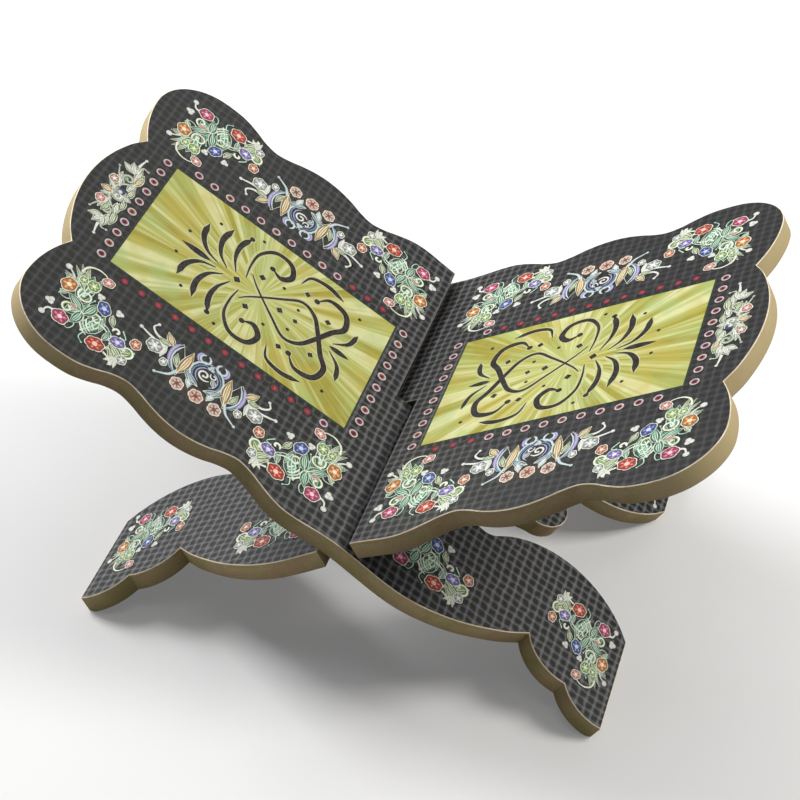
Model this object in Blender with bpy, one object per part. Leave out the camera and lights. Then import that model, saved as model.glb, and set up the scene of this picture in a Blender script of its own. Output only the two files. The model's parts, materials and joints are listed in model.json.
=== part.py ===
"""Cross-legged book stand: two identical scalloped boards that cross in half-width slits.

Each board is a panel for one half of the open book above the crossing and a pair of legs
below it. The boards turn against each other about the line where their mid-planes meet.

World frame: +Z up, the floor at Z = 0, the crossing line along Y through X = 0.
Board frame: `along` runs up the panel from the crossing line, `across` is the board's
width, and the third axis is the normal of the printed side. Both boards share one shape,
and the left one is turned half a turn about Z, which puts its slit at the back.
"""
import math

import bmesh
import bpy
from mathutils import Matrix, Vector

MM = 0.001

# Driving dimensions, in millimetres and degrees.
BOARD_THICKNESS = 9.0
FILM_THICKNESS = 0.4
GLUE_GAP = 0.3
BOARD_SLOPE = 30.4
SLIDING_GAP = 0.3
FOOT_FLAT_DEPTH = 1.2
FILM_LIFT = 0.4
CHORD_ERROR = 0.09
SPLINE_STEPS = 4

# Outline of one half of the board, as (along, across) from the crossing line and the middle.
PANEL_NOSE = (178.2, 0.0)
NOSE_CUSP = (166.9, 42.8)
CORNER_RADIUS = 28.5
CORNER_FACE = (173.8, 73.5)
CORNER_SIDE = (CORNER_FACE[0] - CORNER_RADIUS, CORNER_FACE[1] + CORNER_RADIUS)
CORNER_EASE = 66.0
UPPER_HOLLOW = [(133.4, 100.9), (126.8, 98.3), (120.2, 95.1), (113.4, 93.6), (106.6, 95.0)]
MIDDLE_LOBE = [(100.0, 97.5), (92.6, 99.6), (84.8, 100.4), (77.0, 99.6), (69.8, 97.6)]
LOWER_HOLLOW = [(63.4, 95.0), (56.8, 93.6), (50.0, 95.2), (43.2, 98.2), (35.4, 101.3)]
WAIST_RUN = [(26.0, 102.5), (4.0, 101.0), (-30.0, 103.6)]
LEG_RUN = [(-55.5, 98.1), (-78.3, 86.8)]
LEG_CUSP = (-91.2, 77.6)
LEG_LOBE = (-99.5, 87.3)
HEEL_CORNER = (-114.3, 90.4)
HEEL_LOBE = (-123.0, 98.6)
FOOT_OUTER = (-136.8, 100.4)
FOOT_INNER = (-136.8, 46.4)
ARCH_SWELL = (-92.9, 24.6)
ARCH_HOLLOW_START = (-62.8, 36.8)
ARCH_HOLLOW_TOP = (-45.2, 30.0)
ARCH_HOLLOW_END = (-57.0, 20.3)
PENDANT_SHOULDER = (-75.0, 15.0)
PENDANT_TIP = (-90.0, 0.0)

# The slit runs in from one side and stops this far short of the middle. Its walls stand just
# far enough apart for the other board to lean against them at BOARD_SLOPE.
SLIT_END = 0.5 * SLIDING_GAP

SLOPE = math.radians(BOARD_SLOPE)
HALF_THICKNESS = BOARD_THICKNESS / 2


def slit_half_width():
    """Distance from the crossing line to a slit wall, with SLIDING_GAP left at the contact."""
    reach = SLIDING_GAP + HALF_THICKNESS * (1 + math.cos(2 * SLOPE))
    return reach / math.sin(2 * SLOPE)


def crossing_height():
    """Height of the crossing line that puts the flats under the feet on the floor."""
    corner_drop = -FOOT_OUTER[0] * math.sin(SLOPE) + HALF_THICKNESS * math.cos(SLOPE)
    return corner_drop - FOOT_FLAT_DEPTH


def arc_steps(radius, angle):
    """Number of chords that keep an arc within CHORD_ERROR of the circle."""
    step = 2 * math.acos(1 - CHORD_ERROR / radius)
    return max(2, math.ceil(abs(angle) / step))


def arc_about(centre, radius, start_angle, end_angle):
    """Points of an arc, from its start up to but not including its end."""
    count = arc_steps(radius, end_angle - start_angle)
    points = []
    for i in range(count):
        angle = start_angle + (end_angle - start_angle) * i / count
        point = (centre[0] + radius * math.cos(angle), centre[1] + radius * math.sin(angle))
        points.append(point)
    return points


def arc_through(start, middle, end):
    """Points of the arc from start through middle to end, without the end."""
    ax, ay = start
    bx, by = middle[0] - ax, middle[1] - ay
    cx, cy = end[0] - ax, end[1] - ay
    twice_area = 2 * (bx * cy - by * cx)
    b_square = bx * bx + by * by
    c_square = cx * cx + cy * cy
    ux = (cy * b_square - by * c_square) / twice_area
    uy = (bx * c_square - cx * b_square) / twice_area
    radius = math.hypot(ux, uy)
    start_angle = math.atan2(-uy, -ux)
    end_angle = math.atan2(cy - uy, cx - ux)
    turn = (end_angle - start_angle) % math.tau
    if twice_area < 0:
        turn -= math.tau
    return arc_about((ax + ux, ay + uy), radius, start_angle, start_angle + turn)


def spline_through(points):
    """Points of a Catmull-Rom curve through the given points, without the last one."""
    first = [2 * points[0][i] - points[1][i] for i in (0, 1)]
    last = [2 * points[-1][i] - points[-2][i] for i in (0, 1)]
    knots = [first, *points, last]
    curve = []
    for p0, p1, p2, p3 in zip(knots, knots[1:], knots[2:], knots[3:]):
        for step in range(SPLINE_STEPS):
            t = step / SPLINE_STEPS
            curve.append(tuple(catmull_rom(p0[i], p1[i], p2[i], p3[i], t) for i in (0, 1)))
    return curve


def catmull_rom(a, b, c, d, t):
    """One coordinate of the curve between b and c."""
    slope_in = (c - a) / 2
    slope_out = (d - b) / 2
    square = t * t
    cube = square * t
    blend_start = 2 * cube - 3 * square + 1
    blend_end = 3 * square - 2 * cube
    return (
        blend_start * b
        + blend_end * c
        + (cube - 2 * square + t) * slope_in
        + (cube - square) * slope_out
    )


def panel_half():
    """Half the panel's outline, from the middle of its far edge round to the corner's side."""
    ease_face = math.asin((CORNER_FACE[1] - NOSE_CUSP[1]) / CORNER_EASE)
    face_centre = (CORNER_FACE[0] - CORNER_EASE, CORNER_FACE[1])
    corner_centre = (CORNER_SIDE[0], CORNER_FACE[1])
    quarter = math.pi / 2
    mirrored_cusp = (NOSE_CUSP[0], -NOSE_CUSP[1])
    nose = arc_through(mirrored_cusp, PANEL_NOSE, NOSE_CUSP)
    return (
        [PANEL_NOSE]
        + [p for p in nose if p[1] > CHORD_ERROR]
        + arc_about(face_centre, CORNER_EASE, -ease_face, 0.0)
        + arc_about(corner_centre, CORNER_RADIUS, 0.0, quarter)
    )


def leg_half():
    """Half the leg end's outline, from the leg's cusp round the foot to the pendant's tip."""
    mirrored_shoulder = (PENDANT_SHOULDER[0], -PENDANT_SHOULDER[1])
    pendant = arc_through(PENDANT_SHOULDER, PENDANT_TIP, mirrored_shoulder)
    return (
        arc_through(LEG_CUSP, LEG_LOBE, HEEL_CORNER)
        + arc_through(HEEL_CORNER, HEEL_LOBE, FOOT_OUTER)
        + [FOOT_OUTER]
        + arc_through(FOOT_INNER, ARCH_SWELL, ARCH_HOLLOW_START)
        + arc_through(ARCH_HOLLOW_START, ARCH_HOLLOW_TOP, ARCH_HOLLOW_END)
        + [ARCH_HOLLOW_END]
        + [p for p in pendant if p[1] > CHORD_ERROR]
        + [PENDANT_TIP]
    )


def side_run():
    """The long side between the panel's corner and the leg's cusp."""
    soft_start = (CORNER_SIDE[0] - 6.0, CORNER_SIDE[1] - 0.15)
    panel_run = [CORNER_SIDE, soft_start, *UPPER_HOLLOW, *MIDDLE_LOBE, *LOWER_HOLLOW]
    return spline_through([*panel_run, *WAIST_RUN, *LEG_RUN, LEG_CUSP])


def height_at(run, along):
    """How far across a side run lies at a given place along the board."""
    for (a0, c0), (a1, c1) in zip(run, run[1:]):
        if a1 <= along <= a0:
            return c0 + (c1 - c0) * (along - a0) / (a1 - a0)
    raise ValueError("the place lies outside the run")


def board_outline():
    """The whole outline, with the slit cut in from the side at minus `across`."""
    wall = slit_half_width()
    run = side_run()
    solid_half = panel_half() + run + leg_half()
    slit_side = (
        [p for p in run if p[0] > wall]
        + [(wall, height_at(run, wall)), (wall, -SLIT_END)]
        + [(-wall, -SLIT_END), (-wall, height_at(run, -wall))]
        + [p for p in run if p[0] < -wall]
    )
    slit_half = panel_half() + slit_side + leg_half()
    mirrored = [(a, -c) for a, c in reversed(slit_half[1:-1])]
    return solid_half + mirrored


def clear_scene():
    """Remove every object, mesh and material that the file starts with."""
    for item in list(bpy.data.objects):
        bpy.data.objects.remove(item)
    for mesh in list(bpy.data.meshes):
        bpy.data.meshes.remove(mesh)
    for material in list(bpy.data.materials):
        bpy.data.materials.remove(material)


def make_material(name, colour, roughness):
    """A plain material with the sub-part's own colour."""
    material = bpy.data.materials.new(name)
    material.use_nodes = True
    shader = material.node_tree.nodes["Principled BSDF"]
    shader.inputs["Base Color"].default_value = (*colour, 1.0)
    shader.inputs["Roughness"].default_value = roughness
    shader.inputs["Metallic"].default_value = 0.0
    return material


def board_axis(name, facing):
    """An empty on the crossing line, turned so that its X runs up the board's panel."""
    empty = bpy.data.objects.new(name, None)
    bpy.context.collection.objects.link(empty)
    lift = Matrix.Translation(Vector((0.0, 0.0, crossing_height() * MM)))
    turn = Matrix.Rotation(facing, 4, "Z")
    tilt = Matrix.Rotation(-SLOPE, 4, "Y")
    empty.matrix_world = lift @ turn @ tilt
    return empty


def flatten_feet(mesh, height):
    """Cut away what lies below a height above the floor, which leaves a narrow flat."""
    floor_normal = Vector((math.sin(SLOPE), 0.0, math.cos(SLOPE)))
    floor_point = floor_normal * (height - crossing_height()) * MM
    everything = mesh.verts[:] + mesh.edges[:] + mesh.faces[:]
    bmesh.ops.bisect_plane(
        mesh, geom=everything, plane_co=floor_point, plane_no=floor_normal, clear_inner=True
    )
    rims = [edge for edge in mesh.edges if edge.is_boundary]
    if rims:
        bmesh.ops.holes_fill(mesh, edges=rims, sides=0)


def make_layer(name, bottom, top, axis, material, lift=0.0):
    """One layer of a board, between two heights above the mid-plane, lifted off the floor."""
    mesh = bmesh.new()
    ring = [mesh.verts.new((a * MM, c * MM, bottom * MM)) for a, c in board_outline()]
    base = mesh.faces.new(ring)
    lifted = bmesh.ops.extrude_face_region(mesh, geom=[base])["geom"]
    raised = [item for item in lifted if isinstance(item, bmesh.types.BMVert)]
    bmesh.ops.translate(mesh, verts=raised, vec=Vector((0.0, 0.0, (top - bottom) * MM)))
    flatten_feet(mesh, lift)
    bmesh.ops.recalc_face_normals(mesh, faces=mesh.faces)
    data = bpy.data.meshes.new(name)
    mesh.to_mesh(data)
    mesh.free()
    data.materials.append(material)
    layer = bpy.data.objects.new(name, data)
    bpy.context.collection.objects.link(layer)
    layer.parent = axis
    return layer


def make_board(side, facing):
    """A board: MDF core, printed film on the reading side and balancing film behind."""
    axis = board_axis(f"{side}_board_axis", facing)
    core_half = HALF_THICKNESS - FILM_THICKNESS - GLUE_GAP
    film_bottom = HALF_THICKNESS - FILM_THICKNESS
    core_look = make_material(f"{side}_mdf", (0.33, 0.24, 0.14), 0.75)
    print_look = make_material(f"{side}_print", (0.05, 0.05, 0.055), 0.4)
    back_look = make_material(f"{side}_backing", (0.04, 0.035, 0.03), 0.55)
    make_layer(f"{side}_board_core", -core_half, core_half, axis, core_look)
    make_layer(f"{side}_printed_film", film_bottom, HALF_THICKNESS, axis, print_look)
    make_layer(
        f"{side}_backing_film", -HALF_THICKNESS, -film_bottom, axis, back_look, FILM_LIFT
    )


clear_scene()
make_board("right", 0.0)
make_board("left", math.pi)
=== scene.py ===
import json
import math

import bmesh
import bpy
from mathutils import Matrix, Vector


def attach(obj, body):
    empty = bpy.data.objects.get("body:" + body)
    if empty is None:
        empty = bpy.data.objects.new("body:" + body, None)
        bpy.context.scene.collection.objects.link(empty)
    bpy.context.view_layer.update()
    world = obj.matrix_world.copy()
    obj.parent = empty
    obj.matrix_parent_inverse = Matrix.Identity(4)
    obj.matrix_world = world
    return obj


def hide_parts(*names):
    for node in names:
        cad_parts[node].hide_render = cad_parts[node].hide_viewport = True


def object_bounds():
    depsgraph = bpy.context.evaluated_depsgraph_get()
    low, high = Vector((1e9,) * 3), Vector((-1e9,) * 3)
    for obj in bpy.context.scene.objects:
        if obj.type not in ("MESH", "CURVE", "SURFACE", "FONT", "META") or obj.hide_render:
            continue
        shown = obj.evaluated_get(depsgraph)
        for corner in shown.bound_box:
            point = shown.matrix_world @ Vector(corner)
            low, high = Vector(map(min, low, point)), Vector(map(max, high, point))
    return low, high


# The looks of the cross-legged book stand. The boards and their print are in millimetres, in a
# board's own frame: `across` its width, `along` up its panel from the crossing line, and `height`
# above its mid-plane on the printed side. The camera and the studio are in metres.

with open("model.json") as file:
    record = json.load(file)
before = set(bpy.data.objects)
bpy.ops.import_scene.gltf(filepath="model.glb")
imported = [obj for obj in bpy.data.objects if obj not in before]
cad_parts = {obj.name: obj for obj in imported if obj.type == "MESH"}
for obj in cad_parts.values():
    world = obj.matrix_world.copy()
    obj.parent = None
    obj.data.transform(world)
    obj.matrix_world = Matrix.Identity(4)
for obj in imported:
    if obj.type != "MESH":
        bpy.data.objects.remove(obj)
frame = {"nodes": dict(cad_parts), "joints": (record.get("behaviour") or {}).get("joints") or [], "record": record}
cad_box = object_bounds()

MM = 0.001
SIDES = ("right", "left")
SHARP_ANGLE = math.radians(30)

# The layers of a board, as heights above its mid-plane.
FILM = 0.4
PAPER_EDGE = 0.36
INK_SINK = 0.02
INK_LEVEL = 0.016
LEVEL_SHAPES = 40

# The print, from the crossing line and the board's middle.
PANEL_MIDDLE = 85.4
PANEL_HALF_WIDTH = 39.2
PANEL_HALF_LENGTH = 62.3
BEAD_RADIUS = 2.25
BEAD_ROWS = (152.8, 18.2)
BEAD_ROW_START = -38.5
BEAD_ROW_PITCH = 8.55
BEAD_COLUMN = 44.4
BEAD_COLUMN_TOP = 137.8
BEAD_COLUMN_PITCH = 8.8
WEAVE_PITCH = 4.34
SLIT_REACH = 9.0

# Where the motifs are repeated: the middle that the corner bouquet is mirrored in and the middle
# of the side cluster, and the moves that take the bouquet to the leg and to the foot.
CORNER_MIRROR = 87.0
SIDE_MIDDLE = 86.2
LEG_SHIFT = -175.5
FOOT_SHIFT = 133.5
FOOT_SQUEEZE = 0.8
FOOT_FROM = 156.4
FOOT_TO = -128.8

# How much wider than a shape its dark shade is, and how wide its pale outline is.
SHADE = 1.1
OUTLINE = 0.4


# ---------------------------------------------------------------------------- the two boards


def board_frame(side):
    """The board's own frame in the row frame, as (along, across, height), still in metres."""
    mounts = {mount["name"]: mount for mount in frame["record"]["mounts"]}
    height = Vector(mounts[f"{side}_book_rest"]["axis"]).normalized()
    across = Vector((0.0, 1.0 if side == "right" else -1.0, 0.0))
    along = across.cross(height)
    origin = Vector(frame["joints"][0]["pos_m"])
    place = Matrix((along, across, height)).transposed().to_4x4()
    place.translation = origin
    return place


def outline_of(side):
    """The board's outline as (across, along), read off the upper face of its printed film."""
    to_board = board_frame(side).inverted()
    mesh = bmesh.new()
    mesh.from_mesh(frame["nodes"][f"{side}_printed_film"].data)
    bmesh.ops.remove_doubles(mesh, verts=mesh.verts, dist=0.01 * MM)
    mesh.transform(to_board)
    mesh.normal_update()
    top = max(vert.co.z for vert in mesh.verts)
    step = {}
    for edge in mesh.edges:
        if any(vert.co.z < top - 0.1 * MM for vert in edge.verts) or len(edge.link_faces) != 2:
            continue
        if sum(face.normal.z > 0.5 for face in edge.link_faces) != 1:
            continue
        for one, other in (edge.verts, reversed(edge.verts)):
            step.setdefault(one, []).append(other)
    start = max(step, key=lambda vert: (vert.co.x, vert.co.y))
    loop = [start, step[start][0]]
    while True:
        here, before = loop[-1], loop[-2]
        onward = [vert for vert in step[here] if vert is not before][0]
        if onward is start:
            break
        loop.append(onward)
    points = [(vert.co.y / MM, vert.co.x / MM) for vert in loop]
    half_thickness = top / MM
    mesh.free()
    return points, half_thickness


def turn_at(before, here, after):
    """How sharply a line turns at a point, in radians."""
    a = Vector(here) - Vector(before)
    b = Vector(after) - Vector(here)
    return abs(a.angle_signed(b, 0.0))


def refined(loop, steps=3, corner=math.radians(24)):
    """The outline with its round stretches drawn finer; corners and straight runs stay."""
    count = len(loop)
    sharp = []
    for i in range(count):
        sharp.append(turn_at(loop[i - 1], loop[i], loop[(i + 1) % count]) > corner)
    fine = []
    for i in range(count):
        j = (i + 1) % count
        p1 = Vector(loop[i])
        p2 = Vector(loop[j])
        p0 = 2 * p1 - p2 if sharp[i] else Vector(loop[i - 1])
        p3 = 2 * p2 - p1 if sharp[j] else Vector(loop[(j + 1) % count])
        fine.append(tuple(p1))
        long_run = (p2 - p1).length > 2.5 * min((p1 - p0).length, (p3 - p2).length)
        if (sharp[i] and sharp[j]) or long_run:
            continue
        for k in range(1, steps):
            fine.append(tuple(spline_point(p0, p1, p2, p3, k / steps)))
    return fine


def spline_point(p0, p1, p2, p3, t):
    """A point between p1 and p2 on the Catmull-Rom curve through four points."""
    square = t * t
    cube = square * t
    return 0.5 * (
        2 * p1
        + (p2 - p0) * t
        + (2 * p0 - 5 * p1 + 4 * p2 - p3) * square
        + (3 * p1 - p0 - 3 * p2 + p3) * cube
    )


def inset(loop, distance):
    """The outline moved inwards by a small distance, with mitred corners."""
    count = len(loop)
    area = sum(
        loop[i - 1][0] * loop[i][1] - loop[i][0] * loop[i - 1][1] for i in range(count)
    )
    inward = 1.0 if area > 0 else -1.0
    moved = []
    for i in range(count):
        before = (Vector(loop[i]) - Vector(loop[i - 1])).normalized()
        after = (Vector(loop[(i + 1) % count]) - Vector(loop[i])).normalized()
        normal_before = Vector((-before.y, before.x)) * inward
        normal_after = Vector((-after.y, after.x)) * inward
        middle = normal_before + normal_after
        stretch = 2.0 / max(middle.length_squared, 0.5)
        moved.append(tuple(Vector(loop[i]) + middle * stretch * distance))
    return moved


def on_floor(loop, height, crossing, slope):
    """The outline at a height in the board, kept from reaching under the floor."""
    lowest = -(crossing + height * math.cos(slope)) / math.sin(slope)
    return [(across, max(along, lowest)) for across, along in loop]


def board_mesh(name, rings, materials):
    """A closed sheet through rings of (outline, height), with a flat face on both ends.

    `materials` gives the material index of each band of side faces.
    """
    mesh = bmesh.new()
    rows = []
    for loop, height in rings:
        rows.append([mesh.verts.new((along, across, height)) for across, along in loop])
    count = len(rows[0])
    for lower, upper, index in zip(rows, rows[1:], materials):
        for i in range(count):
            j = (i + 1) % count
            face = mesh.faces.new((lower[i], lower[j], upper[j], upper[i]))
            face.material_index = index
            face.smooth = True
    mesh.faces.new(rows[0])
    mesh.faces.new(rows[-1])
    bmesh.ops.recalc_face_normals(mesh, faces=mesh.faces)
    data = bpy.data.meshes.new(name)
    mesh.to_mesh(data)
    mesh.free()
    data.set_sharp_from_angle(angle=SHARP_ANGLE)
    return data


def place_piece(name, data, side, slot, materials, replaced=()):
    """Makes an object of a mesh given in board millimetres, and attaches it to its board's body."""
    positions = [vert.co.copy() for vert in data.vertices]
    spot = data.attributes.new("board_mm", "FLOAT_VECTOR", "POINT")
    for value, position in zip(spot.data, positions):
        value.vector = (position.y, position.x, position.z)
    data.transform(board_frame(side) @ Matrix.Scale(MM, 4))
    for material in materials:
        data.materials.append(material)
    piece = bpy.data.objects.new(name, data)
    bpy.context.scene.collection.objects.link(piece)
    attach(piece, f"{side}_board")
    for node in replaced:
        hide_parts(node)
    return piece


def make_board(side, looks):
    """The MDF core with its two films, flush with each other all round."""
    loop, half = outline_of(side)
    loop = refined(loop)
    eased = inset(loop, PAPER_EDGE)
    place = board_frame(side)
    crossing = place.translation.z / MM
    slope = math.acos(place.to_3x3()[2][2])
    film_base = half - FILM
    foot_end = min(point[1] for point in loop)
    heel = -(crossing + foot_end * math.sin(slope)) / math.cos(slope)

    def ring(outline, height):
        return on_floor(outline, height, crossing, slope), height

    core = [ring(loop, -film_base), ring(loop, heel), ring(loop, film_base)]
    face = [ring(loop, film_base), ring(loop, half - PAPER_EDGE), ring(eased, half)]
    back = [ring(eased, -half), ring(loop, PAPER_EDGE - half), ring(loop, -film_base)]
    for name, rings, band, skins, slot, node in (
        ("mdf_core", core, 0, ("mdf",), "mdf_core", "board_core"),
        ("woven_print", face, 1, ("weave", "paper_edge"), "printed_face", "printed_film"),
        ("backing", back, 0, ("backing",), "backing", "backing_film"),
    ):
        data = board_mesh(f"{side}_{name}", rings, [band, band])
        materials = [looks[skin] for skin in skins]
        place_piece(f"{side}_{name}", data, side, slot, materials, [f"{side}_{node}"])
    return half


# ---------------------------------------------------------------------------- drawing in ink


def polar(centre, radius, angle):
    """The point at an angle in degrees and a distance from a centre."""
    turn = math.radians(angle)
    return (centre[0] + radius * math.cos(turn), centre[1] + radius * math.sin(turn))


def smooth_path(points, steps=5):
    """A smooth line through a few points."""
    knots = [Vector(point) for point in points]
    knots = [2 * knots[0] - knots[1], *knots, 2 * knots[-1] - knots[-2]]
    path = []
    for p0, p1, p2, p3 in zip(knots, knots[1:], knots[2:], knots[3:]):
        for k in range(steps):
            path.append(tuple(spline_point(p0, p1, p2, p3, k / steps)))
    path.append(tuple(knots[-2]))
    return path


def bent_path(start, end, bend, steps=6):
    """A line from start to end that bows to its left by a share of its length."""
    a, b = Vector(start), Vector(end)
    side = Vector((a.y - b.y, b.x - a.x)) * bend
    middle = (a + b) / 2 + side
    path = []
    for k in range(steps + 1):
        t = k / steps
        path.append(tuple((1 - t) ** 2 * a + 2 * t * (1 - t) * middle + t * t * b))
    return path


def spiral_path(centre, outer, inner, start, sweep):
    """A spiral from an outer to an inner radius, over a sweep in degrees."""
    count = max(6, int(abs(sweep) / 22))
    path = []
    for k in range(count + 1):
        t = k / count
        radius = outer + (inner - outer) * t**0.8
        path.append(polar(centre, radius, start + sweep * t))
    return path


def leaf_profile(t):
    """Width profile of a leaf: pointed at both ends and widest near its foot."""
    return max(0.04, math.sin(math.pi * t**0.85) ** 0.8)


def tail(t):
    """Width profile of a tendril that thins out to its end."""
    return 1.0 - 0.6 * t


def even(t):
    """Width profile of a line of one width with rounded-off ends."""
    return min(1.0, 0.35 + 6 * t) * min(1.0, 0.35 + 6 * (1 - t))


def brush(t):
    """Width profile of a brush: a fine start, a full belly and a short point."""
    return min(1.0, 0.2 + 2.0 * t) * min(1.0, 0.12 + 6.0 * (1 - t)) * (1 - 0.2 * math.sin(6 * t))


class Artwork:
    """The inks of one board's print. Each shape is a thin closed film of ink in its own layer."""

    def __init__(self, surface):
        self.surface = surface
        self.inks = {}
        self.drawn = 0
        self.put()

    def put(self, place=lambda across, along: (across, along), side=1):
        """Sets where the shapes drawn from here on go, with side -1 for across the middle line."""
        self.place = place
        self.side = side

    def layer(self, level):
        """The height of a shape's top, a hair above the shape of its level drawn before it."""
        self.drawn += 1
        return self.surface + (level + self.drawn % LEVEL_SHAPES / LEVEL_SHAPES) * INK_LEVEL

    def sheet(self, ink):
        """The vertices, tones and faces collected for an ink."""
        return self.inks.setdefault(ink, ([], [], []))

    def vertex(self, sheet, point, height, tone):
        """Adds a point of a shape, and returns its index."""
        across, along = self.place(*point)
        sheet[0].append((along, self.side * across, height))
        sheet[1].append(tone)
        return len(sheet[0]) - 1

    def fan(self, ink, level, centre, rim, tone_centre=1.0, tone_rim=0.0):
        """A shape that can be seen whole from its centre, shaded from the centre to its rim."""
        sheet = self.sheet(ink)
        top = self.layer(level)
        base = self.surface - INK_SINK
        upper = [self.vertex(sheet, point, top, tone_rim) for point in rim]
        lower = [self.vertex(sheet, point, base, tone_rim) for point in rim]
        peak = self.vertex(sheet, centre, top, tone_centre)
        for i in range(len(rim)):
            j = (i + 1) % len(rim)
            sheet[2].append((peak, upper[i], upper[j]))
            sheet[2].append((upper[i], lower[i], lower[j], upper[j]))
        sheet[2].append(tuple(reversed(lower)))

    def ribbon(self, ink, level, path, width, profile, tone_middle=1.0, tone_rim=0.0):
        """A line along a path, shaded from its middle to its two rims."""
        sheet = self.sheet(ink)
        top = self.layer(level)
        base = self.surface - INK_SINK
        last = len(path) - 1
        rows = []
        for i, point in enumerate(path):
            ahead = Vector(path[min(i + 1, last)]) - Vector(path[max(i - 1, 0)])
            ahead.normalize()
            half = 0.5 * width * profile(i / last)
            left = (point[0] - ahead.y * half, point[1] + ahead.x * half)
            right = (point[0] + ahead.y * half, point[1] - ahead.x * half)
            corners = (
                (left, top, tone_rim),
                (point, top, tone_middle),
                (right, top, tone_rim),
                (right, base, tone_rim),
                (left, base, tone_rim),
            )
            rows.append(tuple(self.vertex(sheet, *corner) for corner in corners))
        for one, two in zip(rows, rows[1:]):
            for i in range(5):
                j = (i + 1) % 5
                sheet[2].append((one[i], two[i], two[j], one[j]))
        sheet[2].append(rows[0])
        sheet[2].append(tuple(reversed(rows[-1])))

    def disc(self, ink, level, centre, radius, tone_centre=1.0, tone_rim=0.0, count=12):
        """A round dot."""
        rim = [polar(centre, radius, 360 * k / count) for k in range(count)]
        self.fan(ink, level, centre, rim, tone_centre, tone_rim)

    def line(self, ink, level, path, width, profile=tail, ball=0.0):
        """A drawn line over its shade, with a round drop at its end where ball gives a radius."""
        self.ribbon("shade", 0, path, width + SHADE, even, 0.5, 0.5)
        self.ribbon(ink, level, path, width, profile)
        if ball:
            self.disc("shade", 0, path[-1], ball + SHADE / 2, 0.5, 0.5)
            self.disc(ink, level + 1, path[-1], ball)

    def leaf(self, fill, level, base, tip, width, bend=0.0, ribs=True):
        """A pointed leaf: its shade, a pale outline, a body dark at the rim, a pale vein and light ribs."""
        path = bent_path(base, tip, bend)
        start, end = Vector(path[0]), Vector(path[-1])
        length = (end - start).length
        out = (end - start) * OUTLINE / length
        wide = [tuple(start - out), *path[1:-1], tuple(end + out)]
        self.ribbon("shade", 0, wide, width + 2 * OUTLINE + SHADE, leaf_profile, 0.5, 0.5)
        self.ribbon("cream", level, wide, width + 2 * OUTLINE, leaf_profile)
        self.ribbon(fill, level + 1, path, width, leaf_profile, 0.85, -0.1)
        if not ribs:
            return
        self.ribbon("cream", level + 2, path[:-1], 0.07 * width + 0.16, tail)
        for side in (-1, 1):
            rib = bent_path(base, tip, bend + side * 0.5 * width / length)
            self.ribbon(fill, level + 2, rib[1:-1], 0.1 * width + 0.1, leaf_profile, 2.0, 1.4)

    def blossom(self, ink, level, centre, radius, lobes=5, turn=0.0, flat=1.0, lean=0.0, heart=2.0):
        """A flower: its shade, a pale outline, petals with light streaks and dark gaps, and a heart.

        `flat` narrows it across the direction `lean`, as a flower that is seen from one side.
        `heart` is how light its middle is: 2 is a highlight in dark petals, 0 a dark middle.
        """
        tilt = math.radians(lean)
        half = 180 / lobes

        def at(reach, angle):
            x = reach * math.cos(math.radians(angle) - tilt)
            y = reach * math.sin(math.radians(angle) - tilt) * flat
            return (
                centre[0] + x * math.cos(tilt) - y * math.sin(tilt),
                centre[1] + x * math.sin(tilt) + y * math.cos(tilt),
            )

        def rim(reach):
            points = []
            for k in range(6 * lobes):
                dip = (0.0, 0.02, 0.06, 0.13, 0.06, 0.02)[k % 6]
                points.append(at(reach * (1 - dip), turn + half * k / 3))
            return points

        def streak(start, end, angle, spread, level, tone_middle, tone_rim):
            middle = 0.55 * start + 0.45 * end
            rhomb = [at(start, angle), at(middle, angle - spread), at(end, angle)]
            rhomb.append(at(middle, angle + spread))
            self.fan(ink, level, at(middle, angle), rhomb, tone_middle, tone_rim)

        self.fan("shade", 0, centre, rim(radius + SHADE / 2), 0.5, 0.5)
        self.fan("cream", level, centre, rim(radius), 0.2, 0.9)
        inner = radius - OUTLINE
        self.fan(ink, level + 1, centre, rim(inner), 0.75 * heart, 0.8 - 0.35 * heart)
        for k in range(lobes):
            middle = turn + 2 * half * k
            streak(0.24 * inner, 0.98 * inner, middle + half, 0.26 * half, level + 2, -0.2, 0.2)
            streak(0.26 * inner, 0.9 * inner, middle, 0.42 * half, level + 2, 1.9, 0.7)
        self.disc(ink, level + 3, centre, 0.26 * radius, 1.2 * heart, 0.9 * heart, 8)

    def scroll(self, ink, level, centre, outer, inner, start, sweep, width, ball=0.0):
        """A spiral line on a dark ground, with a finer green one beside it."""
        self.disc("ground_green", 1, centre, outer + 0.2 * width)
        path = spiral_path(centre, outer, inner, start, sweep)
        self.line(ink, level + 1, path, width, even, ball)
        inside = spiral_path(centre, outer - width, inner + 0.2, start - 10, 0.6 * sweep)
        self.ribbon("leaf_lime", level, inside, 0.6 * width, even)

    def hearts(self, ink, centre, size, angle):
        """A pale bud of two drops side by side."""
        foot = polar(centre, -0.7 * size, angle)
        for lean in (-36, 36):
            far = polar(centre, 0.8 * size, angle + lean)
            self.ribbon(ink, 6, bent_path(foot, far, 0.0, 3), 0.9 * size, even)
            self.disc("shade", 0, far, 0.66 * size + SHADE / 2, 0.5, 0.5)
            self.disc(ink, 7, far, 0.66 * size)


# ---------------------------------------------------------------------------- the motifs


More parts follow.
